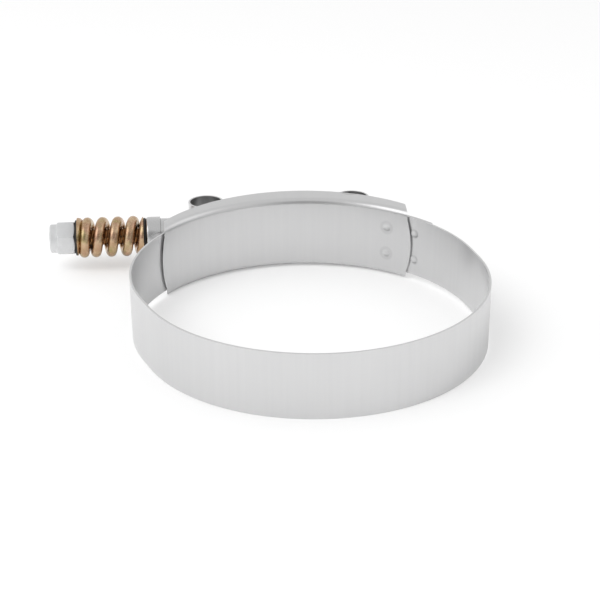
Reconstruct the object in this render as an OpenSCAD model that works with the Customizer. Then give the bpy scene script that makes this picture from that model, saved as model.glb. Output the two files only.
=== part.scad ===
// Spring-loaded T-bolt clamp: a band with a loop at each end, a flanged bridge under the gap
// between the loops, and a T-headed bolt that draws the loops together against a spring.
// +Z is the axis of the ring, the bolt runs along X on the +Y side, and the origin is the
// middle of the ring's round front. The nut is on the -X side.

/* [Band] */
// Inside radius of the ring
ring_radius = 50; // [46:0.05:70]
// How far the back of the ring, with the bridge, is shifted towards the bolt
back_shift = 5.95; // [4:0.05:8]
// How far the back of the ring is shifted along the bolt, towards the nut
back_slide = 1.65; // [0:0.05:3]
// Width of the band
band_width = 19.05; // [16:0.05:26]
// Thickness of the band
band_thickness = 0.6; // [0.4:0.05:0.9]
// Radius of the bend where a loop's strip turns back along the band
fold_bend = 3; // [2:0.1:4]
// Length of the folded strip on the nut side, past its bend
nut_fold_length = 13; // [6:0.5:15]
// How far the folded strip on the bolt head's side runs past the tongue of the bridge, in degrees
head_fold_angle = 8; // [6:0.5:9]
// Gap between the folded strip and the band, away from the welds
fold_gap = 0.1; // [0.05:0.05:0.2]

/* [Loops] */
// How far the bolt's axis stands off the inside of the bridge
bolt_stand = 5.75; // [5:0.05:9]
// How far the loose bolt hangs below the middle of the band
bolt_drop = 1.5; // [0:0.1:1.6]
// Distance of the nut-side loop from the middle of the ring, along the bolt
nut_loop_x = 29.1; // [27:0.1:32]
// Distance of the head-side loop from the middle of the ring, along the bolt
head_loop_x = 18.2; // [16:0.1:24]
// Diameter of the cross barrels that sit in the loops
barrel_diameter = 9.8; // [8:0.1:11]
// Length of the cross barrels
barrel_length = 15.4; // [13:0.1:16]
// Radial room between a barrel and its loop
loop_clearance = 0.15; // [0.1:0.05:0.3]
// Radial room between a loop's window and the piece that passes through it
window_clearance = 0.5; // [0.3:0.1:1]

/* [Bridge] */
// Thickness of the bridge
bridge_thickness = 0.5; // [0.4:0.05:0.8]
// Angle from the bolt side to the flange ends at the free end of the bridge
bridge_nut_angle = 54.9; // [52:0.1:62]
// Angle from the bolt side to the flange ends at the welded end of the bridge
bridge_head_angle = 44.6; // [41:0.1:55]
// Length of the rounded tongue at each end
tongue_length = 1.5; // [1:0.1:4]
// Outside radius of the bend between web and flange
flange_bend = 2; // [1.5:0.1:2.6]
// Length of a flange beyond its bend
flange_length = 4; // [2:0.1:5]
// How far a flange leans up from square, in degrees
flange_lean = 10; // [0:1:20]
// How far the circle along the flanges' tips is shifted, which makes them lower towards the ends
flange_taper = 6; // [0:0.5:9]
// Room between an edge of the band and the bridge's bend
edge_clearance = 0.45; // [0.1:0.05:0.8]
// Gap between bridge and band where the band lies over it
bridge_gap = 0.05; // [0.02:0.01:0.1]

/* [Bolt and trunnion] */
// Diameter of the bolt
bolt_diameter = 6; // [5:0.1:6.2]
// Radial room around the bolt in the trunnion, the seat and the washers
bolt_clearance = 0.25; // [0.15:0.05:0.4]
// Radial running clearance between the bolt and the nut
thread_clearance = 0.05; // [0.02:0.01:0.1]
// Diameter of the trunnion's nose
nose_diameter = 10.8; // [9.4:0.1:11.2]
// Distance from the trunnion's own axis to the shoulder of its nose
nose_shoulder = 3.6; // [3.4:0.1:5]

/* [Spring stack] */
// Distance from the middle of the ring to the inner face of the spring's seat
seat_reach = 44; // [42:0.1:50]
// Diameter of the seat
seat_diameter = 12; // [11.6:0.1:14]
// Length of the seat
seat_length = 4.8; // [4:0.1:8]
// Depth of the recess in the seat that takes the trunnion's nose
seat_recess = 1.2; // [0.6:0.1:2]
// Radius of the seat's rounded rim
seat_round = 1.1; // [0.4:0.1:1.4]
// Diameter of the washers at both ends of the spring
washer_diameter = 11.4; // [10:0.1:13]
// Thickness of these washers
washer_thickness = 0.6; // [0.5:0.1:1.6]
// Outside diameter of the spring
spring_diameter = 13; // [12.4:0.05:15]
// Diameter of the spring's wire
wire_diameter = 3.3; // [2:0.1:3.4]
// Length of the relaxed spring
spring_length = 21.3; // [19:0.1:28]
// Working turns between the end turns
working_turns = 3; // [2.5:0.5:4]
// Rise of the first turn at the seat
first_turn_rise = 4.3; // [3.5:0.1:5]
// Gap between the spring's ground ends and the washers
end_gap = 0.05; // [0.02:0.01:0.1]

/* [Nut] */
// Size of the nut across its flats
nut_flats = 10; // [9:0.1:13]
// Length of the nut's hexagon
nut_hexagon = 5.9; // [4:0.1:8]
// Length of the nut's collar
nut_collar = 2.2; // [1.8:0.1:4]
// Diameter of the nut's collar
collar_diameter = 9.2; // [8.8:0.1:10]
// Thickness of the collar's wall around the insert
collar_wall = 0.6; // [0.4:0.05:0.8]
// Thickness of the lip that holds the insert in
collar_lip = 0.4; // [0.3:0.1:0.6]
// Turn of the hexagon about the bolt
nut_turn = -5; // [-30:1:30]

/* [Hidden] */
$fn = 96;

// Circles along the band: its own centre line, and its centre line where it lies over the bridge
line_radius = ring_radius + band_thickness / 2;
bridge_outside = ring_radius + bridge_thickness;
over_inside = bridge_outside + bridge_gap;
over_radius = over_inside + band_thickness / 2;
loop_radius = barrel_diameter / 2 + loop_clearance + band_thickness / 2;
fold_offset = band_thickness + fold_gap;

// The band runs straight between its round front and its round back, on a line touching both.
// Places along an end of the band are given as on the +X side, with the back's middle at back.
head_back = [-back_slide, back_shift];
nut_back = [back_slide, back_shift];
side_lean = asin((over_radius - line_radius) / norm(head_back));
side_length = norm(head_back) * cos(side_lean);
function side_angle(back) = 90 + side_lean + atan2(back[0], back[1]);

// Distance from the ring's axis to the bolt's axis
bolt_offset = back_shift + ring_radius + bolt_stand;

// Where the band leaves the bridge on a tangent to a loop, and how long that tangent is
head_loop = [head_loop_x, bolt_offset] - head_back;
nut_loop = [nut_loop_x, bolt_offset] - nut_back;
function loop_lean(loop) = acos((over_radius + loop_radius) / norm(loop));
function leave_angle(loop) = atan2(loop[0], loop[1]) + loop_lean(loop);
function tangent_length(loop) = norm(loop) * sin(loop_lean(loop));
tongue_turn = 2 * asin(tongue_length / 2 / ring_radius);
tongue_angle = bridge_head_angle + tongue_turn;

// A loop turns past three quarters, then its strip bends back onto the band
fold_drop = asin((loop_radius - fold_bend - fold_offset) / (loop_radius + fold_bend));
fold_start = (loop_radius + fold_bend) * cos(fold_drop);

// Lengths of the band are joined by a short sleeve, proud of it by less than can be felt
seam_length = 0.4;
seam_proud = 0.005;

// Spot welds: a shallow round dent on each side, a pair on each line across the band
weld_depth = 0.14;
weld_diameter = 2.6;
weld_ball = (pow(weld_diameter / 2, 2) + pow(weld_depth, 2)) / (2 * weld_depth);
weld_spacing_share = 0.46;
weld_spacing = weld_spacing_share * band_width;
slug_diameter = 2.4;
slug_start = over_radius - band_thickness / 4;
slug_height = fold_offset + band_thickness / 2;
fold_face = over_radius + fold_offset + band_thickness / 2;
head_weld_share = 0.15;
head_weld_angle = tongue_angle + head_weld_share * head_fold_angle;
bridge_weld_turn = -2;
bridge_weld_angle = leave_angle(head_loop) + bridge_weld_turn;

// Bridge section: the web stops below the band's edge, so that the bend clears that edge
bend_inside = flange_bend - bridge_thickness;
web_half = band_width / 2 + edge_clearance
    - sqrt(pow(bend_inside, 2) - pow(bend_inside - bridge_gap, 2));
flange_radius = ring_radius + flange_bend * (1 - sin(flange_lean)) + flange_length * cos(flange_lean);
bridge_half = web_half + flange_bend + flange_length;
// A tongue's end is an arc over the height of the web, and the sheet is swept past it first
tongue_inset = 0.05;
tongue_half = web_half - tongue_inset;
sweep_spare = 1;
tongue_radius = (pow(tongue_half, 2) + pow(tongue_length, 2)) / (2 * tongue_length);

// Distances along the bolt, from the middle of the ring out towards the nut
bolt_radius = bolt_diameter / 2;
passage_radius = bolt_radius + bolt_clearance;
seat_end = seat_reach + seat_length;
seat_washer_end = seat_end + washer_thickness;
spring_start = seat_washer_end + end_gap;
spring_end = spring_start + spring_length;
nut_washer_start = spring_end + end_gap;
nut_start = nut_washer_start + washer_thickness;
nut_length = nut_hexagon + nut_collar;
nut_end = nut_start + nut_length;
bearing_inset = 0.2;
hexagon_chamfer_angle = 30;
hexagon_spare = 0.5;
insert_play = 0.03;
nose_play = 0.1;
barrel_chamfer = 0.5;
bolt_chamfer = 0.7;
neck_inset = 0.4;
neck_diameter = barrel_diameter - 2 * neck_inset;

// Spring: an open turn at the seat and a closed one at the nut, their tips sunk below the ground faces
wire_radius = wire_diameter / 2;
coil_radius = (spring_diameter - wire_diameter) / 2;
seat_tip_share = 0.6;
nut_tip_share = 0.82;
closing_share = 0.41;
closing_turns = 0.5;
first_height = first_turn_rise - seat_tip_share * wire_radius;
last_height = spring_length + nut_tip_share * wire_radius;
closed_height = last_height - wire_diameter;
coil_turns = working_turns + closing_turns + 2;
coil_phase = 25;
steps_per_turn = 24;
wire_sides = 12;

// Colours of the finishes
stainless = "lightgray";
zinc = "silver";
gold = "darkgoldenrod";
blackened = "dimgray";

// Carries its children to the bolt's axis, turned so that local +Z runs out towards the nut
module on_bolt(distance = 0) {
    translate([-distance, bolt_offset, -bolt_drop])
        rotate([0, -90, 0])
            children();
}

// A ring section of the band: part of a turn about Z
module ring_sector(inside, thickness, width, start, sweep) {
    rotate([0, 0, start])
        rotate_extrude(angle = sweep)
            translate([inside, -width / 2])
                square([thickness, width]);
}

// The place and heading after one step from a place and heading, as [x, y, heading]
function across(heading) = [-sin(heading), cos(heading)];
function side_of(step) = step[0] == "left" ? 1 : -1;
function centre_of(at, step) = [at[0], at[1]] + side_of(step) * step[1] * across(at[2]);
function after(at, step) =
    step[0] == "ahead" ?
        [at[0] + step[1] * cos(at[2]), at[1] + step[1] * sin(at[2]), at[2]] :
        let(
            heading = at[2] + side_of(step) * step[2],
            place = centre_of(at, step) - side_of(step) * step[1] * across(heading)
        )
        [place[0], place[1], heading];

// Lays the band along a row of steps, from a place and heading.
// A step is ["ahead", length], ["left", radius, sweep] or ["right", radius, sweep].
module strip(steps, start) {
    places = [for (i = 0, at = start; i < len(steps); at = after(at, steps[i]), i = i + 1) at];
    for (i = [0 : len(steps) - 1]) {
        step = steps[i];
        at = places[i];
        seam(at);
        if (step[0] == "ahead") {
            translate([at[0], at[1], 0])
                rotate([0, 0, at[2]])
                    translate([0, -band_thickness / 2, -band_width / 2])
                        cube([step[1], band_thickness, band_width]);
        } else {
            first = side_of(step) > 0 ? at[2] - 90 : at[2] + 90 - step[2];
            translate(centre_of(at, step))
                ring_sector(step[1] - band_thickness / 2, band_thickness, band_width, first, step[2]);
        }
    }
}

// Joins two lengths of the band where they meet
module seam(at) {
    size = [seam_length, band_thickness + 2 * seam_proud, band_width + 2 * seam_proud];
    translate([at[0], at[1], 0])
        rotate([0, 0, at[2]])
            cube(size, center = true);
}

// The steps that every end of the band has, from the round front to the end of its fold
function end_steps(loop, back) = [
    ["ahead", side_length],
    ["left", over_radius, side_angle(back) - leave_angle(loop)],
    ["ahead", tangent_length(loop)],
    ["right", loop_radius, 270 + fold_drop],
    ["left", fold_bend, 90 + fold_drop],
];

// One end of the band, on the +X side, followed by the steps of its folded strip
module band_end(loop, back, fold_steps) {
    start = side_angle(back);
    place = line_radius * [sin(start), cos(start)];
    strip(concat(end_steps(loop, back), fold_steps), [place[0], place[1], 180 - start]);
}

// Carries its children to a pair of spot welds: at an angle from +Y about the back's middle, on
// this radius, and this far along the tangent there. Local +Z points away from the middle.
module at_welds(back, angle, radius, along = 0) {
    translate(back)
        rotate([0, 0, -angle])
            for (z = [-1, 1])
                translate([-along, radius, z * weld_spacing / 2])
                    rotate([-90, 0, 0])
                        children();
}

// The dents of a weld, in the inner face and in the outer face of a pile of sheets
module inner_dent() {
    translate([0, 0, weld_depth - weld_ball])
        rotate([90, 0, 0])
            sphere(weld_ball);
}

module outer_dent() {
    translate([0, 0, weld_ball - weld_depth])
        rotate([90, 0, 0])
            sphere(weld_ball);
}

// Weld metal between the band and its folded strip
module slug() {
    cylinder(h = slug_height, d = slug_diameter);
}

// Folded strip on the nut side lies on the tangent, on the head side it follows the band round
nut_fold_run = min(nut_fold_length, tangent_length(nut_loop) - fold_start);
nut_weld_along = tangent_length(nut_loop) - fold_start - nut_fold_run / 2;
head_fold_steps = [
    ["ahead", tangent_length(head_loop) - fold_start],
    ["right", over_radius + fold_offset, tongue_angle + head_fold_angle - leave_angle(head_loop)],
];

module band() {
    front_start = 90 + side_angle(nut_back);
    front_sweep = 360 - side_angle(nut_back) - side_angle(head_back);
    color(stainless)
        difference() {
            union() {
                ring_sector(ring_radius, band_thickness, band_width, front_start, front_sweep);
                band_end(head_loop, head_back, head_fold_steps);
                mirror([1, 0, 0]) {
                    band_end(nut_loop, nut_back, [["ahead", nut_fold_run]]);
                    at_welds(nut_back, leave_angle(nut_loop), slug_start, nut_weld_along) slug();
                }
                at_welds(head_back, head_weld_angle, slug_start) slug();
                at_welds(head_back, bridge_weld_angle, slug_start) slug();
            }
            // Window for the trunnion's nose, on the nut's side of its loop
            on_bolt(nut_loop_x + nose_shoulder - window_clearance)
                cylinder(h = seat_reach, d = nose_diameter + 2 * window_clearance);
            // Windows for the bolt, on the gap's side of both loops
            on_bolt(-head_loop_x)
                cylinder(h = head_loop_x + nut_loop_x, r = bolt_radius + window_clearance);
            at_welds(head_back, head_weld_angle, over_inside) inner_dent();
            at_welds(head_back, head_weld_angle, fold_face) outer_dent();
            at_welds(head_back, bridge_weld_angle, fold_face) outer_dent();
            mirror([1, 0, 0])
                at_welds(nut_back, leave_angle(nut_loop), fold_face, nut_weld_along) outer_dent();
        }
}

// Sweeps its children, given as radius and height, round the bridge and this far past its tongues
module along_bridge(spare) {
    head_sweep = bridge_head_angle + tongue_turn + spare;
    nut_sweep = bridge_nut_angle + tongue_turn + spare;
    rotate([0, 0, 90 - head_sweep])
        rotate_extrude(angle = head_sweep + nut_sweep)
            children();
}

// What lies outside one face of the bridge's sheet: from the web's face, round a bend of this
// radius and along the leaning flanges to their tips
module sheet_side(bend, length, spare) {
    centre = ring_radius + flange_bend;
    turn = bend * [-sin(flange_lean), cos(flange_lean)];
    tip = turn + length * [cos(flange_lean), sin(flange_lean)];
    along_bridge(spare)
        translate([centre - bend, -web_half])
            square([bend, 2 * web_half]);
    for (side = [-1, 1])
        along_bridge(spare)
            translate([centre, side * web_half])
                circle(bend);
    along_bridge(spare)
        polygon([
            for (point = [turn, tip]) [centre + point[0], web_half + point[1]],
            for (point = [tip, turn]) [centre + point[0], -web_half - point[1]],
        ]);
}

// What the rounded tongue past these flange ends, on the +X side, is kept within
module tongue_limits(flange_end) {
    centre = flange_end + tongue_turn - asin(tongue_radius / ring_radius);
    intersection() {
        rotate([0, 0, -centre])
            rotate([-90, 0, 0])
                cylinder(h = 2 * ring_radius, r = tongue_radius);
        cube([4 * ring_radius, 4 * ring_radius, 2 * tongue_half], center = true);
    }
}

// What is cut off an end of the bridge, on the +X side: all past a face square to the bolt, but
// not the tongue
module end_cut(flange_end) {
    difference() {
        translate([ring_radius * sin(flange_end), 0, -bridge_half])
            cube([ring_radius, 2 * flange_radius, 2 * bridge_half]);
        tongue_limits(flange_end);
    }
}

module bridge() {
    color(stainless)
        difference() {
            translate(head_back)
                difference() {
                    intersection() {
                        difference() {
                            sheet_side(flange_bend, flange_length, sweep_spare);
                            sheet_side(bend_inside, 2 * flange_length, 2 * sweep_spare);
                        }
                        // The circle along the flanges' tips
                        translate([0, flange_taper, -bridge_half])
                            cylinder(h = 2 * bridge_half, r = flange_radius - flange_taper);
                    }
                    end_cut(bridge_head_angle);
                    mirror([1, 0, 0])
                        end_cut(bridge_nut_angle);
                }
            at_welds(head_back, bridge_weld_angle, ring_radius) inner_dent();
        }
}

// A barrel across the bolt, along Z, with chamfered ends
module cross_barrel() {
    radius = barrel_diameter / 2;
    half = barrel_length / 2;
    rotate_extrude()
        polygon([
            [0, -half],
            [radius - barrel_chamfer, -half],
            [radius, -half + barrel_chamfer],
            [radius, half - barrel_chamfer],
            [radius - barrel_chamfer, half],
            [0, half],
        ]);
}

module t_bolt() {
    length = nut_end + head_loop_x;
    color(zinc) {
        translate([head_loop_x, bolt_offset, -bolt_drop])
            cross_barrel();
        on_bolt(-head_loop_x)
            rotate_extrude()
                polygon([
                    [0, 0],
                    [bolt_radius, 0],
                    [bolt_radius, length - bolt_chamfer],
                    [bolt_radius - bolt_chamfer, length],
                    [0, length],
                ]);
    }
}

module trunnion() {
    nose_end = seat_reach + seat_recess - nose_play;
    shoulder = nut_loop_x + nose_shoulder;
    color(zinc)
        difference() {
            union() {
                translate([-nut_loop_x, bolt_offset, -bolt_drop])
                    cross_barrel();
                on_bolt(nut_loop_x)
                    cylinder(h = nose_shoulder, d = neck_diameter);
                on_bolt(shoulder)
                    cylinder(h = nose_end - shoulder, d = nose_diameter);
            }
            on_bolt()
                cylinder(h = seat_end, r = passage_radius);
        }
}

module spring_seat() {
    radius = seat_diameter / 2;
    recess_radius = nose_diameter / 2 + nose_play;
    color(zinc)
        on_bolt(seat_reach)
            rotate_extrude()
                difference() {
                    union() {
                        translate([passage_radius, 0])
                            square([radius - passage_radius, seat_length - seat_round]);
                        translate([passage_radius, 0])
                            square([radius - seat_round - passage_radius, seat_length]);
                        translate([radius - seat_round, seat_length - seat_round])
                            circle(seat_round);
                    }
                    square([recess_radius, seat_recess]);
                }
}

module washer(distance) {
    on_bolt(distance)
        difference() {
            cylinder(h = washer_thickness, d = washer_diameter);
            translate([0, 0, -washer_thickness / 2])
                cylinder(h = 2 * washer_thickness, r = passage_radius);
        }
}

module seat_washer() {
    color(blackened)
        washer(seat_end);
}

module nut_washer() {
    color(blackened)
        washer(nut_washer_start);
}

// Height of the wire's centre above the seat end after this many turns
function coil_height(turn) = lookup(turn, [
    [0, first_height - first_turn_rise],
    [1, first_height],
    [1 + working_turns, closed_height - closing_share * wire_diameter],
    [coil_turns - 1, closed_height],
    [coil_turns, last_height]
]);

// Angles round the wire, from its lowest point, that stay above a ground face below its centre
function ground_angles(height) =
    let(whole = height >= wire_radius, low = whole ? -90 : asin(-height / wire_radius))
    [for (i = [0 : wire_sides - 1])
        whole ? low + 360 * (i + 0.5) / wire_sides : low + (180 - 2 * low) * i / (wire_sides - 1)];

// The wire's outline at this height, as radius and height, flat where the end is ground
function wire_outline(height) =
    let(
        upper = height > spring_length / 2,
        angles = ground_angles(upper ? spring_length - height : height),
        half = wire_sides / 2
    )
    [for (i = [0 : wire_sides - 1])
        let(a = upper ? 180 + angles[(i + half) % wire_sides] : angles[i])
        [coil_radius + wire_radius * cos(a), height + wire_radius * sin(a)]];

// The spring winds left-handed
function wire_ring(turn) =
    let(a = coil_phase - 360 * turn)
    [for (p = wire_outline(coil_height(turn))) [p[0] * cos(a), p[0] * sin(a), p[1]]];

module spring() {
    rings = round(coil_turns * steps_per_turn);
    points = [for (k = [0 : rings]) each wire_ring(k * coil_turns / rings)];
    sides = [
        for (k = [0 : rings - 1], i = [0 : wire_sides - 1])
            let(j = (i + 1) % wire_sides, a = k * wire_sides, b = a + wire_sides)
            each [[a + i, b + i, b + j], [a + i, b + j, a + j]]
    ];
    first = [for (i = [0 : wire_sides - 1]) i];
    last = [for (i = [wire_sides - 1 : -1 : 0]) rings * wire_sides + i];
    color(gold)
        on_bolt(spring_start)
            polyhedron(points, concat(sides, [first, last]), convexity = 10);
}

module lock_nut() {
    corner = nut_flats / sqrt(3);
    collar_radius = collar_diameter / 2;
    bore = bolt_radius + thread_clearance;
    face = nut_flats / 2 - bearing_inset;
    rim = corner + hexagon_spare;
    chamfer = (rim - face) * tan(hexagon_chamfer_angle);
    color(zinc)
        on_bolt(nut_start)
            difference() {
                union() {
                    intersection() {
                        rotate([0, 0, nut_turn])
                            cylinder(h = nut_hexagon, r = corner, $fn = 6);
                        rotate_extrude()
                            polygon([
                                [0, 0],
                                [face, 0],
                                [rim, chamfer],
                                [rim, nut_hexagon - chamfer],
                                [face, nut_hexagon],
                                [0, nut_hexagon],
                            ]);
                    }
                    rotate_extrude() {
                        square([collar_radius, nut_length - collar_wall]);
                        square([collar_radius - collar_wall, nut_length]);
                        translate([collar_radius - collar_wall, nut_length - collar_wall])
                            circle(collar_wall);
                    }
                }
                translate([0, 0, -nut_length / 2])
                    cylinder(h = 2 * nut_length, r = bore);
                translate([0, 0, nut_hexagon])
                    cylinder(h = nut_collar - collar_lip, r = collar_radius - collar_wall);
                translate([0, 0, nut_hexagon])
                    cylinder(h = nut_length, r = collar_radius - 2 * collar_wall);
            }
}

module locking_insert() {
    outside = collar_diameter / 2 - collar_wall - insert_play;
    height = nut_collar - collar_lip - 2 * insert_play;
    color("white")
        on_bolt(nut_start + nut_hexagon + insert_play)
            difference() {
                cylinder(h = height, r = outside);
                translate([0, 0, -height / 2])
                    cylinder(h = 2 * height, r = bolt_radius + thread_clearance);
            }
}

band();
bridge();
t_bolt();
trunnion();
spring_seat();
seat_washer();
spring();
nut_washer();
lock_nut();
locking_insert();
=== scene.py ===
import math
import bmesh
import bpy
from mathutils import Matrix, Vector


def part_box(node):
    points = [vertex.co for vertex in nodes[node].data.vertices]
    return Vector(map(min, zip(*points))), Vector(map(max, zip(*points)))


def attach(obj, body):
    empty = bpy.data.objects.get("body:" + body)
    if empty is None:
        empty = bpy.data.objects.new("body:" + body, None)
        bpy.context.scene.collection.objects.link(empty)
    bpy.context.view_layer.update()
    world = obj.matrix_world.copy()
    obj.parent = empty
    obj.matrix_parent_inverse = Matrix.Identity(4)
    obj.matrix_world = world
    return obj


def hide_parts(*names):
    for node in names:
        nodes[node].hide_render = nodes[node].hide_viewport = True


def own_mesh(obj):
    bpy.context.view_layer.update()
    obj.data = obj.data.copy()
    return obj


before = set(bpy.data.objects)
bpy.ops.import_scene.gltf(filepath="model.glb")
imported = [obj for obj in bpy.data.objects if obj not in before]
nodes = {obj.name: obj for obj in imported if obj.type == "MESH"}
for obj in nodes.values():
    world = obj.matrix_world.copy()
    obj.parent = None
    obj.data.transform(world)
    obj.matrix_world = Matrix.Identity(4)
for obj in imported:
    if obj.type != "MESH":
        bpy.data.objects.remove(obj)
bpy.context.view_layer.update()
print("frame loaded with", len(nodes), "nodes")

mm = 0.001
tiny = 1e-6        # metres, for points that share a line
seam = 0.01 * mm   # points this close are one, where two runs meet
boltLow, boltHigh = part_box("t_bolt")
boltY = (boltLow.y + boltHigh.y) / 2
boltZ = (boltLow.z + boltHigh.z) / 2
backMiddle = Vector((-1.65 * mm, 5.95 * mm))   # middle of the ring's back, where the bridge lies


# camera

cameraView = {
    "distance": 431.1 * mm,
    "elevation": 24.87,
    "azimuth": -5.5,
    "lens": 89.38,
    "shiftX": -14.12 / 600,
    "shiftY": 4.76 / 600,
}


def makeCamera():
    elevation = math.radians(cameraView["elevation"])
    azimuth = math.radians(cameraView["azimuth"])
    away = Vector((math.sin(azimuth) * math.cos(elevation),
                   -math.cos(azimuth) * math.cos(elevation), math.sin(elevation)))
    data = bpy.data.cameras.new("photoCamera")
    data.lens = cameraView["lens"]
    data.sensor_width = 36
    data.shift_x = cameraView["shiftX"]
    data.shift_y = cameraView["shiftY"]
    data.clip_start = 0.01
    camera = bpy.data.objects.new("photoCamera", data)
    bpy.context.scene.collection.objects.link(camera)
    camera.location = away * cameraView["distance"]
    camera.rotation_euler = (-away).to_track_quat("-Z", "Y").to_euler()
    bpy.context.scene.camera = camera
    print("camera placed")


makeCamera()


# steps that every piece shares

def clearPick():
    if bpy.context.object and bpy.context.object.mode != "OBJECT":
        bpy.ops.object.mode_set(mode="OBJECT")
    bpy.ops.object.select_all(action="DESELECT")


def pickOnly(*pieces):
    clearPick()
    for piece in pieces:
        piece.select_set(True)
    bpy.context.view_layer.objects.active = pieces[0]


def openEdit(piece, kind="VERT"):
    pickOnly(piece)
    bpy.ops.object.mode_set(mode="EDIT")
    bpy.ops.mesh.select_mode(type=kind)


def chooseVerts(piece, test):
    # in edit mode: selects the points whose place passes the test
    bpy.ops.mesh.select_all(action="DESELECT")
    mesh = bmesh.from_edit_mesh(piece.data)
    for vert in mesh.verts:
        vert.select = test(vert.co)
    mesh.select_flush_mode()
    bmesh.update_edit_mesh(piece.data)


def applyModifiers(piece):
    pickOnly(piece)
    for modifier in list(piece.modifiers):
        bpy.ops.object.modifier_apply(modifier=modifier.name)


def setPlace(piece):
    pickOnly(piece)
    bpy.ops.object.transform_apply(location=True, rotation=True, scale=True)


def joinAll(*pieces):
    pickOnly(*pieces)
    bpy.ops.object.join()
    return pieces[0]


def closeUp(piece, distance=0.002 * mm):
    openEdit(piece)
    bpy.ops.mesh.select_all(action="SELECT")
    bpy.ops.mesh.remove_doubles(threshold=distance)
    bpy.ops.mesh.normals_make_consistent(inside=False)
    bpy.ops.object.mode_set(mode="OBJECT")


def combine(piece, other, operation):
    modifier = piece.modifiers.new("combine", "BOOLEAN")
    modifier.operation = operation
    modifier.solver = "EXACT"
    modifier.object = other
    applyModifiers(piece)
    bpy.data.objects.remove(other, do_unlink=True)


def thicken(piece, thickness):
    modifier = piece.modifiers.new("sheet", "SOLIDIFY")
    modifier.thickness = thickness
    modifier.offset = 0
    modifier.use_even_offset = True
    applyModifiers(piece)


def softenEdges(piece, width, angle=35, smooth=35):
    # breaks the edges sharper than one angle and shades the flatter ones smooth
    if width:
        bevel = piece.modifiers.new("edges", "BEVEL")
        bevel.width = width
        bevel.segments = 2
        bevel.limit_method = "ANGLE"
        bevel.angle_limit = math.radians(angle)
        applyModifiers(piece)
    pickOnly(piece)
    bpy.ops.object.shade_smooth_by_angle(angle=math.radians(smooth))


def newCylinder(radius, depth, place, turn=(0, 0, 0), sides=96):
    clearPick()
    bpy.ops.mesh.primitive_cylinder_add(vertices=sides, radius=radius, depth=depth,
                                        location=place, rotation=turn)
    piece = bpy.context.object
    setPlace(piece)
    return piece


def cutOff(piece, place, normal):
    # takes away what lies past a plane and closes the piece again
    openEdit(piece)
    bpy.ops.mesh.select_all(action="SELECT")
    bpy.ops.mesh.bisect(plane_co=place, plane_no=normal, use_fill=True, clear_outer=True,
                        threshold=0.0001 * mm)
    bpy.ops.object.mode_set(mode="OBJECT")


def spinRound(steps, angle, centre, axis):
    # the operator's own angle runs the other way round its axis
    bpy.ops.mesh.spin(steps=steps, angle=-angle, center=centre, axis=axis)


def firstLine(name, place, height):
    # one upright edge, left over from a plane, is where a strip of sheet starts
    clearPick()
    bpy.ops.mesh.primitive_plane_add(size=height, location=(place[0] + height / 2, place[1], 0),
                                     rotation=(math.pi / 2, 0, 0))
    piece = bpy.context.object
    piece.name = name
    setPlace(piece)
    openEdit(piece)
    chooseVerts(piece, lambda co: co.x > place[0] + height / 2)
    bpy.ops.mesh.delete(type="VERT")
    bpy.ops.mesh.select_all(action="SELECT")
    return piece


weldMarks = {"radius": 1.3 * mm, "depth": 0.22 * mm, "spread": 4.38 * mm}


def weldDent(angle, radius, height, outer, along=0):
    # a ball that leaves a shallow round dent in the inner or the outer face of the sheet
    weld = weldMarks
    ball = (weld["radius"] ** 2 + weld["depth"] ** 2) / (2 * weld["depth"])
    away = Vector((math.sin(angle), math.cos(angle), 0))
    side = Vector((-math.cos(angle), math.sin(angle), 0))
    reach = radius + (ball - weld["depth"]) * (1 if outer else -1)
    place = Vector((backMiddle.x, backMiddle.y, height)) + away * reach + side * along
    clearPick()
    bpy.ops.mesh.primitive_uv_sphere_add(segments=48, ring_count=72, radius=ball, location=place)
    piece = bpy.context.object
    piece.rotation_euler = away.to_track_quat("Z", "Y").to_euler()
    setPlace(piece)
    return piece


# the band: one strip of sheet with a loop and a welded fold at each end

bandSizes = {
    "width": 19.05 * mm,
    "thickness": 0.6 * mm,
    "lineRadius": 50.3 * mm,      # middle of the sheet round the front
    "overRadius": 50.85 * mm,     # and where it lies over the bridge
    "headLoopX": 18.2 * mm,
    "nutLoopX": 29.1 * mm,
    "loopRadius": 5.35 * mm,
    "foldBend": 3.0 * mm,
    "foldOffset": 0.7 * mm,
    "nutFold": 13.0 * mm,
    "headFoldEnd": math.radians(54.32),
    "noseWindow": (5.9 * mm, 32.2 * mm, 14 * mm),   # radius, start along the bolt, length
    "boltWindow": 3.5 * mm,
    "headWeld": math.radians(47.52),
    "bridgeWeld": math.radians(35.86),
    "edge": 0.09 * mm,
    "smooth": 14,
    "facet": 1.2 * mm,
    "turnStep": math.radians(5),
}


def bandSteps(loopX, back, foldEnd):
    # as on the +X side, from the middle of the front to the end of the fold
    size = bandSizes
    spread = back.length
    sideLean = math.asin((size["overRadius"] - size["lineRadius"]) / spread)
    sideAngle = math.pi / 2 + sideLean + math.atan2(back.x, back.y)
    loop = Vector((loopX, boltY)) - back
    loopLean = math.acos((size["overRadius"] + size["loopRadius"]) / loop.length)
    leave = math.atan2(loop.x, loop.y) + loopLean
    tangent = loop.length * math.sin(loopLean)
    reach = size["loopRadius"] + size["foldBend"]
    drop = math.asin((size["loopRadius"] - size["foldBend"] - size["foldOffset"]) / reach)
    foldRun = tangent - reach * math.cos(drop)
    steps = [("left", size["lineRadius"], math.pi - sideAngle),
             ("ahead", spread * math.cos(sideLean)),
             ("left", size["overRadius"], sideAngle - leave),
             ("ahead", tangent),
             ("right", size["loopRadius"], 1.5 * math.pi + drop),
             ("left", size["foldBend"], math.pi / 2 + drop)]
    if foldEnd:
        steps += [("ahead", foldRun),
                  ("right", size["overRadius"] + size["foldOffset"], foldEnd - leave)]
    else:
        steps.append(("ahead", min(size["nutFold"], foldRun)))
    return steps, leave, foldRun


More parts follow.
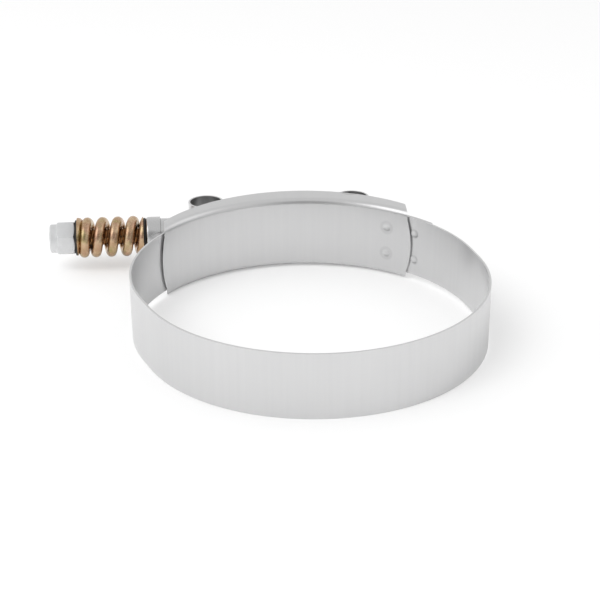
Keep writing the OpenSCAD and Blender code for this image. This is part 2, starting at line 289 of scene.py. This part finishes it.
def runStrip(steps, place, side):
    # in edit mode with the strip's last line selected; side -1 mirrors the way
    size = bandSizes
    at = Vector(place)
    heading = 0.0
    for kind, length, *sweep in steps:
        ahead = Vector((math.cos(heading), math.sin(heading)))
        if kind == "ahead":
            move = ahead * length
            at += move
            bpy.ops.mesh.extrude_region_move(
                TRANSFORM_OT_translate={"value": (move.x * side, move.y, 0)})
            continue
        turn = 1 if kind == "left" else -1
        centre = at + turn * length * Vector((-ahead.y, ahead.x))
        count = math.ceil(max(length * sweep[0] / size["facet"], sweep[0] / size["turnStep"]))
        spinRound(count, turn * side * sweep[0], (centre.x * side, centre.y, 0), (0, 0, 1))
        heading += turn * sweep[0]
        at = centre + turn * length * Vector((math.sin(heading), -math.cos(heading)))


def makeBand():
    size = bandSizes
    start = (0.0, -size["lineRadius"])
    headSteps = bandSteps(size["headLoopX"], backMiddle, size["headFoldEnd"])[0]
    nutBack = Vector((-backMiddle.x, backMiddle.y))
    nutSteps, nutLeave, nutRun = bandSteps(size["nutLoopX"], nutBack, None)
    halves = []
    for name, steps, side in (("headHalf", headSteps, 1), ("nutHalf", nutSteps, -1)):
        half = firstLine(name, start, size["width"])
        runStrip(steps, start, side)
        bpy.ops.object.mode_set(mode="OBJECT")
        halves.append(half)
    band = joinAll(*halves)
    closeUp(band)
    thicken(band, size["thickness"])
    radius, begin, length = size["noseWindow"]
    nose = newCylinder(radius, length, (-begin - length / 2, boltY, boltZ), (0, math.pi / 2, 0))
    between = size["headLoopX"] + size["nutLoopX"]
    middle = (size["headLoopX"] - size["nutLoopX"]) / 2
    passage = newCylinder(size["boltWindow"], between, (middle, boltY, boltZ), (0, math.pi / 2, 0))
    combine(band, joinAll(nose, passage), "DIFFERENCE")
    inside = size["overRadius"] - size["thickness"] / 2
    outside = size["overRadius"] + size["foldOffset"] + size["thickness"] / 2
    nutAlong = nutRun - min(size["nutFold"], nutRun) / 2
    for height in (-weldMarks["spread"], weldMarks["spread"]):
        combine(band, weldDent(size["headWeld"], inside, height, False), "DIFFERENCE")
        combine(band, weldDent(size["headWeld"], outside, height, True), "DIFFERENCE")
        combine(band, weldDent(size["bridgeWeld"], outside, height, True), "DIFFERENCE")
        combine(band, weldDent(-nutLeave, outside, height, True, -nutAlong), "DIFFERENCE")
    closeUp(band)
    softenEdges(band, size["edge"], smooth=size["smooth"])
    band.name = "bandStrip"
    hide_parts("band")
    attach(band, "clamp")
    print("band bent:", len(band.data.polygons), "faces")
    return band


# the bridge: a sheet channel under the gap, with rolled flanges and rounded tongues

bridgeSizes = {
    "inside": 50.0 * mm,
    "thickness": 0.5 * mm,
    "webHalf": 9.591 * mm,
    "bend": 2.0 * mm,
    "flange": 4.0 * mm,
    "lean": math.radians(10),
    "tipRadius": 49.592 * mm,
    "tipShift": 6.0 * mm,
    "headEnd": math.radians(44.6),
    "nutEnd": math.radians(54.9),
    "tongue": 1.5 * mm,
    "tongueHalf": 9.541 * mm,
    "spare": math.radians(1),
    "facets": 90,
    "bendFacets": 10,
    "blankHeight": 40 * mm,
    "blankFacets": 360,
    "edge": 0.09 * mm,
    "smooth": 14,
}


def tongueBlank(flangeEnd, side):
    # the round blank that gives a tongue its outline
    size = bridgeSizes
    radius = (size["tongueHalf"] ** 2 + size["tongue"] ** 2) / (2 * size["tongue"])
    turn = 2 * math.asin(size["tongue"] / 2 / size["inside"])
    angle = side * (flangeEnd + turn - math.asin(radius / size["inside"]))
    reach = size["inside"]
    place = (backMiddle.x + reach * math.sin(angle), backMiddle.y + reach * math.cos(angle), 0)
    blank = newCylinder(radius, 2 * reach, place, (math.pi / 2, 0, -angle), 256)
    cutOff(blank, (0, 0, size["tongueHalf"]), (0, 0, 1))
    cutOff(blank, (0, 0, -size["tongueHalf"]), (0, 0, -1))
    return blank


def makeBridge():
    size = bridgeSizes
    middle = size["inside"] + size["thickness"] / 2
    bridge = firstLine("bridgeSheet", (backMiddle.x, backMiddle.y + middle), 2 * size["webHalf"])
    rise = math.pi / 2 - size["lean"]
    for side in (1, -1):   # roll the upper flange out, then the lower one
        chooseVerts(bridge, lambda co: abs(co.z - side * size["webHalf"]) < tiny)
        centre = (backMiddle.x, backMiddle.y + size["inside"] + size["bend"],
                  side * size["webHalf"])
        spinRound(size["bendFacets"], -side * rise, centre, (1, 0, 0))
        bpy.ops.mesh.extrude_region_move(TRANSFORM_OT_translate={
            "value": (0, size["flange"] * math.cos(size["lean"]),
                      side * size["flange"] * math.sin(size["lean"]))})
    turn = 2 * math.asin(size["tongue"] / 2 / size["inside"]) + size["spare"]
    centre = (backMiddle.x, backMiddle.y, 0)
    for side, end in ((-1, size["headEnd"]), (1, size["nutEnd"])):
        chooseVerts(bridge, lambda co: abs(co.x - backMiddle.x) < tiny)
        spinRound(size["facets"] // 2, side * (end + turn), centre, (0, 0, 1))
    bpy.ops.object.mode_set(mode="OBJECT")
    closeUp(bridge)
    thicken(bridge, size["thickness"])
    blank = newCylinder(size["tipRadius"], size["blankHeight"],
                        (backMiddle.x, backMiddle.y + size["tipShift"], 0),
                        sides=size["blankFacets"])
    faces = (size["inside"] * math.sin(size["headEnd"]), size["inside"] * math.sin(size["nutEnd"]))
    cutOff(blank, (backMiddle.x + faces[0], 0, 0), (1, 0, 0))
    cutOff(blank, (backMiddle.x - faces[1], 0, 0), (-1, 0, 0))
    combine(blank, tongueBlank(size["headEnd"], 1), "UNION")
    combine(blank, tongueBlank(size["nutEnd"], -1), "UNION")
    combine(bridge, blank, "INTERSECT")
    for height in (-weldMarks["spread"], weldMarks["spread"]):
        dent = weldDent(bandSizes["bridgeWeld"], size["inside"], height, False)
        combine(bridge, dent, "DIFFERENCE")
    closeUp(bridge)
    softenEdges(bridge, size["edge"], smooth=size["smooth"])
    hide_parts("bridge")
    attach(bridge, "clamp")
    print("bridge rolled:", len(bridge.data.polygons), "faces")
    return bridge


# pieces on the bolt are made with local z running out towards the nut

def placeOnBolt(piece, distance):
    turn = Matrix(((0, 0, -1), (0, 1, 0), (1, 0, 0))).to_4x4()
    piece.matrix_world = Matrix.Translation((-distance, boltY, boltZ)) @ turn
    setPlace(piece)


# the spring: left-handed round wire, open at the seat, closed at the nut, both ends ground flat

springSizes = {
    "start": 49.45 * mm,
    "length": 21.3 * mm,
    "coil": 4.85 * mm,
    "wire": 1.65 * mm,
    "runs": ((1, -0.99 * mm), (3, 3.31 * mm),   # turns and start height of each
             (0.5, 18.0 * mm), (1, 19.33 * mm)),
    "lastHeight": 22.653 * mm,
    "phase": 25,
    "sides": 28,
    "stepsPerTurn": 56,
    "travel": 5 * mm,
}


def coilRun(startTurn, turns, height, rise):
    size = springSizes
    clearPick()
    bpy.ops.mesh.primitive_circle_add(vertices=size["sides"], radius=size["wire"],
                                      location=(size["coil"], 0, 0), rotation=(math.pi / 2, 0, 0))
    run = bpy.context.object
    setPlace(run)
    run.rotation_euler = (0, 0, math.radians(size["phase"] - 360 * startTurn))
    run.location = (0, 0, height)
    setPlace(run)
    screw = run.modifiers.new("wind", "SCREW")
    screw.angle = -math.tau * turns
    screw.screw_offset = rise
    screw.steps = screw.render_steps = round(size["stepsPerTurn"] * turns)
    screw.use_merge_vertices = False
    applyModifiers(run)
    return run


def makeSpring():
    size = springSizes
    heights = [height for turns, height in size["runs"]] + [size["lastHeight"]]
    runs = []
    done = 0
    for index, (turns, height) in enumerate(size["runs"]):
        runs.append(coilRun(done, turns, height, heights[index + 1] - height))
        done += turns
    spring = joinAll(*runs)
    closeUp(spring, seam)
    openEdit(spring)
    bpy.ops.mesh.select_all(action="DESELECT")
    bpy.ops.mesh.select_non_manifold()
    bpy.ops.mesh.fill_holes(sides=0)
    bpy.ops.object.mode_set(mode="OBJECT")
    cutOff(spring, (0, 0, size["length"]), (0, 0, 1))
    cutOff(spring, (0, 0, 0), (0, 0, -1))
    closeUp(spring)
    placeOnBolt(spring, size["start"])
    softenEdges(spring, 0, smooth=40)
    spring.name = "springCoil"
    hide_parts("spring")
    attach(spring, "clamp")
    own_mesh(spring)
    print("spring wound:", len(spring.data.polygons), "faces")
    return spring


# the T-bolt: cross barrel, plain shank and a cut thread under the spring and nut

boltSizes = {
    "barrelRadius": 4.9 * mm,
    "barrelLength": 15.4 * mm,
    "barrelEdge": 0.5 * mm,
    "headX": 18.2 * mm,
    "shankRadius": 2.95 * mm,
    "threadStart": 41.0 * mm,
    "end": 79.5 * mm,
    "crest": 2.95 * mm,
    "root": 2.45 * mm,
    "pitch": 1.0 * mm,
    "rootFlat": 0.12,   # these three are shares of the pitch
    "profile": (("crest", 0.44), ("crest", 0.56), ("root", 0.94)),
    "firstTurn": 1.2,
    "steps": 36,
    "overlap": 2 * mm,
    "shankEdge": 0.3 * mm,
}


def makeThread():
    size = boltSizes
    turns = math.ceil((size["end"] - size["threadStart"]) / size["pitch"]) + 2
    thread = firstLine("thread", (size["root"], 0.0), size["rootFlat"] * size["pitch"])
    for radius, height in size["profile"]:
        points = bmesh.from_edit_mesh(thread.data).verts
        last = max((vert.co.copy() for vert in points), key=lambda co: co.z)
        chooseVerts(thread, lambda co: co.z > last.z - tiny)
        move = Vector((size[radius], 0, height * size["pitch"])) - last
        bpy.ops.mesh.extrude_region_move(TRANSFORM_OT_translate={"value": move})
    bpy.ops.object.mode_set(mode="OBJECT")
    screw = thread.modifiers.new("cut", "SCREW")
    screw.angle = math.tau
    screw.screw_offset = size["pitch"]
    screw.iterations = turns
    screw.steps = screw.render_steps = size["steps"]
    screw.use_merge_vertices = False
    applyModifiers(thread)
    closeUp(thread, seam)
    cutOff(thread, (0, 0, size["end"] - size["threadStart"]), (0, 0, 1))
    cutOff(thread, (0, 0, size["firstTurn"] * size["pitch"]), (0, 0, -1))
    placeOnBolt(thread, size["threadStart"])
    return thread


def makeBolt():
    size = boltSizes
    barrel = newCylinder(size["barrelRadius"], size["barrelLength"], (size["headX"], boltY, boltZ))
    openEdit(barrel, "EDGE")
    bpy.ops.mesh.select_all(action="DESELECT")
    mesh = bmesh.from_edit_mesh(barrel.data)
    for edge in mesh.edges:
        edge.select_set(abs(edge.verts[0].co.z - edge.verts[1].co.z) < tiny)
    bmesh.update_edit_mesh(barrel.data)
    bpy.ops.mesh.bevel(offset=size["barrelEdge"], segments=4, affect="EDGES")
    bpy.ops.object.mode_set(mode="OBJECT")
    reach = size["headX"] + size["threadStart"] + size["overlap"]
    shank = newCylinder(size["shankRadius"], reach, (size["headX"] - reach / 2, boltY, boltZ),
                        (0, math.pi / 2, 0), 64)
    softenEdges(shank, size["shankEdge"])
    bolt = joinAll(barrel, shank, makeThread())
    closeUp(bolt)
    softenEdges(bolt, 0)
    bolt.name = "boltWithHead"
    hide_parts("t_bolt")
    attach(bolt, "clamp")
    print("bolt cut:", len(bolt.data.polygons), "faces")
    return bolt


# turned pieces keep the shape of their solids, with broken edges

turnedPieces = {
    "trunnion": ("trunnionBarrel", "clamp", 0.15 * mm),
    "spring_seat": ("springCup", "clamp", 0.15 * mm),
    "seat_washer": ("cupWasher", "clamp", 0.1 * mm),
    "nut_washer": ("nutWasher", "nut_carriage", 0.1 * mm),
    "lock_nut": ("lockNut", "nut", 0.12 * mm),
    "locking_insert": ("nutInsert", "nut", 0.1 * mm),
}


def makeTurned(nodeName):
    name, body, edge = turnedPieces[nodeName]
    piece = bpy.data.objects.new(name, nodes[nodeName].data.copy())
    bpy.context.scene.collection.objects.link(piece)
    pickOnly(piece)
    bpy.ops.mesh.customdata_custom_splitnormals_clear()
    closeUp(piece)
    openEdit(piece)
    bpy.ops.mesh.select_all(action="SELECT")
    bpy.ops.mesh.dissolve_limited(angle_limit=math.radians(1))
    bpy.ops.object.mode_set(mode="OBJECT")
    softenEdges(piece, edge, angle=32, smooth=32)
    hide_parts(nodeName)
    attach(piece, body)
    return piece


# shader maths on sockets

class Sock:
    def __init__(self, tree, socket):
        self.tree = tree
        self.socket = socket

    def node(self, kind, settings=None, inputs=None, out=0):
        made = self.tree.nodes.new(kind)
        for key, value in (settings or {}).items():
            setattr(made, key, value)
        for key, value in (inputs or {}).items():
            if isinstance(value, Sock):
                self.tree.links.new(value.socket, made.inputs[key])
            else:
                made.inputs[key].default_value = value
        return Sock(self.tree, made.outputs[out])

    def maths(self, operation, *values):
        return self.node("ShaderNodeMath", {"operation": operation}, dict(enumerate(values)))

    def __add__(self, other):
        return self.maths("ADD", self, other)

    __radd__ = __add__

    def __sub__(self, other):
        return self.maths("SUBTRACT", self, other)

    def __rsub__(self, other):
        return self.maths("SUBTRACT", other, self)

    def __mul__(self, other):
        return self.maths("MULTIPLY", self, other)

    __rmul__ = __mul__


def newMaterial(name):
    material = bpy.data.materials.new(name)
    material.use_nodes = True
    tree = material.node_tree
    shader = tree.nodes["Principled BSDF"]
    place = Sock(tree, shader.outputs[0]).node("ShaderNodeTexCoord", out=3)
    return material, shader, place


def feed(shader, name, value):
    value.tree.links.new(value.socket, shader.inputs[name])


def axes(place):
    split = place.node("ShaderNodeSeparateXYZ", None, {0: place}).socket.node
    return [Sock(place.tree, split.outputs[i]) for i in range(3)]


def noise(place, vector, scale, detail=3.0, roughness=0.5):
    return place.node("ShaderNodeTexNoise", None,
                      {"Vector": vector, "Scale": scale, "Detail": detail, "Roughness": roughness})


def ramp(place, value, low, high):
    # 0 below low, 1 above high, smooth between
    return place.node("ShaderNodeMapRange", {"interpolation_type": "SMOOTHSTEP"},
                      {"Value": value, "From Min": low, "From Max": high})


def mixColour(place, factor, first, second):
    made = place.tree.nodes.new("ShaderNodeMix")
    made.data_type = "RGBA"
    for index, value in ((0, factor), (6, first), (7, second)):
        if isinstance(value, Sock):
            place.tree.links.new(value.socket, made.inputs[index])
        else:
            made.inputs[index].default_value = (*value, 1) if isinstance(value, tuple) else value
    return Sock(place.tree, made.outputs[2])


def bumped(place, height, distance, strength):
    return place.node("ShaderNodeBump", None,
                      {"Strength": strength, "Distance": distance, "Height": height})


def away(place, centre, axis=None):
    # distance in metres from a point, or from a line along x, y or z through it
    flat = [0.0 if letter == axis else 1.0 for letter in "xyz"]
    offset = place.node("ShaderNodeVectorMath", {"operation": "SUBTRACT"}, {0: place, 1: centre})
    offset = place.node("ShaderNodeVectorMath", {"operation": "MULTIPLY"}, {0: offset, 1: flat})
    return place.node("ShaderNodeVectorMath", {"operation": "LENGTH"}, {0: offset}, out=1)


boreEdge = (5.0 * mm, 5.25 * mm)
loopLines = [(bandSizes["headLoopX"], boltY, 0.0), (-bandSizes["nutLoopX"], boltY, 0.0)]


def shadeInLoops(place):
    # 1 inside the two loops, where painted shade darkens the metal to stand in for the shadow in
    # the deep loops
    first, second = [away(place, line, "z") for line in loopLines]
    return 1.0 - ramp(place, place.maths("MINIMUM", first, second), *boreEdge)


# satin stainless sheet: fine grain along the strip, faint streaks across it

stainlessLook = {
    "light": (0.71, 0.71, 0.71),
    "dark": (0.61, 0.61, 0.615),
    # the next colour is painted shade inside the loops
    "bore": (0.56, 0.56, 0.56),
    "weldTint": (0.42, 0.42, 0.425),
    "weldShare": 0.3,
    "heatStart": (0.7 * mm, 1.25 * mm),
    "heatEnd": (1.35 * mm, 1.9 * mm),
    "grain": (3.0, 2600.0),    # round the ring and across the band
    "streak": (26.0, 14.0),
    "cloud": 38.0,
    "roughness": 0.30,
}
weldPlaces = [   # radius, angle, spread of the heat mark
    (50.0 * mm, bandSizes["bridgeWeld"], 1.4),
    (50.55 * mm, bandSizes["headWeld"], 1.0),
]


def weldRings(place):
    # the heat mark round each spot weld on the inside
    look = stainlessLook
    total = None
    for radius, angle, spread in weldPlaces:
        for height in (-weldMarks["spread"], weldMarks["spread"]):
            centre = (backMiddle.x + radius * math.sin(angle),
                      backMiddle.y + radius * math.cos(angle), height)
            gap = away(place, centre) * (1 / spread)
            ring = ramp(place, gap, *look["heatStart"]) - ramp(place, gap, *look["heatEnd"])
            total = ring if total is None else total + ring
    return total


def makeStainless():
    look = stainlessLook
    material, shader, place = newMaterial("satinStainless")
    x, y, z = axes(place)
    angle = place.maths("ARCTAN2", x, y)
    along, across = look["grain"]
    grainPlace = place.node("ShaderNodeCombineXYZ", None, {0: angle * along, 1: z * across, 2: 0.0})
    grain = noise(place, grainPlace, 1.0, 4.0, 0.6)
    along, across = look["streak"]
    streakPlace = place.node("ShaderNodeCombineXYZ", None,
                             {0: angle * along, 1: z * across, 2: 0.0})
    streak = noise(place, streakPlace, 1.0, 3.0, 0.55)
    cloud = noise(place, place, look["cloud"], 3.0, 0.5)
    tone = streak * 0.5 + cloud * 0.35 + grain * 0.15
    sheet = mixColour(place, tone, look["dark"], look["light"])
    sheet = mixColour(place, weldRings(place) * look["weldShare"], sheet, look["weldTint"])
    # painted shade inside the loops
    feed(shader, "Base Color", mixColour(place, shadeInLoops(place), sheet, look["bore"]))
    feed(shader, "Roughness", look["roughness"] - 0.05 + grain * 0.10)
    feed(shader, "Normal", bumped(place, grain, 0.0001, 0.08))
    shader.inputs["Metallic"].default_value = 1.0
    return material


zincLook = {"light": (0.80, 0.805, 0.81), "dark": (0.70, 0.705, 0.71), "dull": (0.55, 0.55, 0.55),
            # on the next line: the first colour is painted shade inside the loops; the second is
            # painted shade and painted reflection of the gold spring on the thread under the coil
            "bore": (0.46, 0.46, 0.46), "threadShadeAndReflection": (0.36, 0.20, 0.09), "roughness": 0.22,
            "dullShare": 0.8, "nutMatt": 0.4, "nutEdge": (-72 * mm, -71 * mm),
            "coilEdge": (-49.5 * mm, -48.5 * mm), "coreEdge": (3.0 * mm, 3.1 * mm)}


def makeZinc():
    look = zincLook
    material, shader, place = newMaterial("brightZinc")
    x = axes(place)[0]
    cloud = noise(place, place, 420.0, 4.0, 0.6)
    fine = noise(place, place, 2600.0, 2.0, 0.5)
    atNut = 1.0 - ramp(place, x, *look["nutEdge"])   # the nut is paler and more matt than the rest
    plate = mixColour(place, cloud, look["dark"], look["light"])
    plate = mixColour(place, (1.0 - atNut) * look["dullShare"], plate, look["dull"])
    # painted shade inside the loops, on the barrels and bolt there
    plate = mixColour(place, shadeInLoops(place), plate, look["bore"])
    # painted shade and painted reflection: the thread under the coil is darkened to the spring's
    # brown gold, standing in for its shadow and the gold it reflects
    core = 1.0 - ramp(place, away(place, (0.0, boltY, boltZ), "x"), *look["coreEdge"])
    underCoil = 1.0 - ramp(place, x, *look["coilEdge"]) - atNut
    feed(shader, "Base Color", mixColour(place, core * underCoil, plate, look["threadShadeAndReflection"]))
    feed(shader, "Roughness", look["roughness"] - 0.06 + fine * 0.12 + atNut * look["nutMatt"])
    feed(shader, "Normal", bumped(place, fine, 0.00005, 0.1))
    shader.inputs["Metallic"].default_value = 1.0
    return material


goldLook = {"gold": (0.48, 0.33, 0.19), "pale": (0.64, 0.48, 0.31), "rose": (0.50, 0.31, 0.21),
            "olive": (0.42, 0.335, 0.165), "roughness": 0.25}


def makeGold():
    look = goldLook
    material, shader, place = newMaterial("yellowChromate")
    broad = ramp(place, noise(place, place, 190.0, 2.0, 0.5), 0.35, 0.65)
    patch = ramp(place, noise(place, place, 420.0, 3.0, 0.6), 0.4, 0.75)
    olive = ramp(place, noise(place, place, 260.0, 2.0, 0.5), 0.5, 0.7)
    fine = noise(place, place, 3000.0, 2.0, 0.5)
    tint = mixColour(place, broad, look["rose"], look["gold"])
    tint = mixColour(place, olive, tint, look["olive"])
    feed(shader, "Base Color", mixColour(place, patch, tint, look["pale"]))
    feed(shader, "Roughness", look["roughness"] - 0.05 + fine * 0.12)
    feed(shader, "Normal", bumped(place, fine, 0.00005, 0.12))
    shader.inputs["Metallic"].default_value = 1.0
    return material


# painted shade: the two washers are near black to stand in for the shaded gaps at the spring's ends
gapShadeLook = {"light": (0.06, 0.058, 0.055), "dark": (0.02, 0.02, 0.02), "roughness": 0.42}


def makeGapShade():
    look = gapShadeLook
    material, shader, place = newMaterial("gapShadeSteel")
    cloud = noise(place, place, 700.0, 3.0, 0.6)
    feed(shader, "Base Color", mixColour(place, cloud, look["dark"], look["light"]))
    feed(shader, "Roughness", look["roughness"] + cloud * 0.12)
    shader.inputs["Metallic"].default_value = 0.6
    return material


nylonLook = {"light": (0.82, 0.82, 0.80), "dark": (0.72, 0.72, 0.69), "roughness": 0.5}


def makeNylon():
    look = nylonLook
    material, shader, place = newMaterial("plainNylon")
    cloud = noise(place, place, 500.0, 3.0, 0.6)
    feed(shader, "Base Color", mixColour(place, cloud, look["dark"], look["light"]))
    feed(shader, "Roughness", look["roughness"] + cloud * 0.1)
    return material


finishes = {
    "stainless": makeStainless(),
    "zinc": makeZinc(),
    "gold_zinc": makeGold(),
    "blackened": makeGapShade(),
    "nylon": makeNylon(),
}
print("finishes made:", ", ".join(finishes))


def wear(piece, slotName):
    piece.data.materials.clear()
    piece.data.materials.append(finishes[slotName])


# the two washers wear near-black painted shade for the dark gaps at the spring's ends
nodeSlots = {"band": "stainless", "bridge": "stainless", "t_bolt": "zinc", "trunnion": "zinc",
             "spring_seat": "zinc", "seat_washer": "blackened", "spring": "gold_zinc",
             "nut_washer": "blackened", "lock_nut": "zinc", "locking_insert": "nylon"}
for nodeName, slotName in nodeSlots.items():
    nodes[nodeName].data.materials.clear()
    nodes[nodeName].data.materials.append(finishes[slotName])

wear(makeBand(), "stainless")
wear(makeBridge(), "stainless")
wear(makeSpring(), "gold_zinc")
wear(makeBolt(), "zinc")
for nodeName in turnedPieces:
    wear(makeTurned(nodeName), nodeSlots[nodeName])
print("pieces finished")


# floor and light

stageLook = {
    "size": 6.0,
    "floor": 0.95,
    "whiteSeen": 0.36,        # how far the floor is plain white for the camera
    "whiteReflected": 0.05,   # and in the metal
    "tent": 0.78,
    "opening": 0.45,          # how dark the tent's opening at the camera is
    "backWall": 0.1,          # and how much brighter its back wall
    "openingWay": (-0.09, -0.93, 0.36),
    "openingEdge": (0.82, 0.985),
    "wallEdge": (0.2, 0.8),
}
lamps = {   # place, size, power, seen in the metal
    "keyLamp": ((-0.80, -0.70, 1.30), 1.0, 11.5, False),
    "leftBox": ((-0.68, -0.15, 0.50), 0.55, 1.1, True),
    "rightBox": ((0.75, 0.05, 0.55), 0.55, 0.35, True),
}


def makeFloor():
    # the clamp stands on the front edge of its band and on the tips of its lower flanges
    look = stageLook
    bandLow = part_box("band")[0]
    bridgeLow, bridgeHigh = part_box("bridge")
    slope = (bridgeLow.z - bandLow.z) / (bridgeHigh.y - bandLow.y)
    clearPick()
    bpy.ops.mesh.primitive_plane_add(size=look["size"])
    floor = bpy.context.object
    floor.name = "floor"
    floor.rotation_euler = (math.atan(slope), 0, 0)
    floor.location = (0, bandLow.y, bandLow.z)
    setPlace(floor)
    material = bpy.data.materials.new("paleFloor")
    material.use_nodes = True
    tree = material.node_tree
    tree.nodes.clear()
    out = tree.nodes.new("ShaderNodeOutputMaterial")
    rays = Sock(tree, None).node("ShaderNodeLightPath").socket.node
    camera, glossy, through = [Sock(tree, rays.outputs[name]) for name in
                               ("Is Camera Ray", "Is Glossy Ray", "Is Transmission Ray")]
    seen = camera.maths("MAXIMUM", camera, through) * look["whiteSeen"]
    seen = seen.maths("MAXIMUM", seen, glossy * look["whiteReflected"])
    matt = seen.node("ShaderNodeBsdfDiffuse", None, {"Color": (*[look["floor"]] * 3, 1)})
    white = seen.node("ShaderNodeEmission", None, {"Color": (1, 1, 1, 1), "Strength": 1.0})
    both = seen.node("ShaderNodeMixShader", None, {0: seen, 1: matt, 2: white})
    tree.links.new(both.socket, out.inputs[0])
    floor.data.materials.append(material)
    print("floor laid")


def makeLight():
    # a white tent with a darker opening in front, and soft boxes beside it
    world = bpy.data.worlds.new("tent")
    world.use_nodes = True
    tree = world.node_tree
    background = tree.nodes["Background"]
    background.inputs["Color"].default_value = (1, 1, 1, 1)
    place = Sock(tree, None).node("ShaderNodeTexCoord")
    front = place.node("ShaderNodeVectorMath", {"operation": "DOT_PRODUCT"},
                       {0: place, 1: stageLook["openingWay"]}, out=1)
    opening = ramp(place, front, *stageLook["openingEdge"]) * stageLook["opening"]
    backWall = ramp(place, axes(place)[1], *stageLook["wallEdge"]) * stageLook["backWall"]
    strength = (1.0 - opening + backWall) * stageLook["tent"]
    tree.links.new(strength.socket, background.inputs["Strength"])
    bpy.context.scene.world = world
    for name, (place, size, power, seen) in lamps.items():
        data = bpy.data.lights.new(name, "AREA")
        data.size = size
        data.energy = power
        lamp = bpy.data.objects.new(name, data)
        bpy.context.scene.collection.objects.link(lamp)
        lamp.location = place
        lamp.rotation_euler = (-Vector(place)).to_track_quat("-Z", "Y").to_euler()
        lamp.visible_glossy = seen
    bpy.context.scene.view_settings.view_transform = "Standard"
    print("light set")


makeFloor()
makeLight()
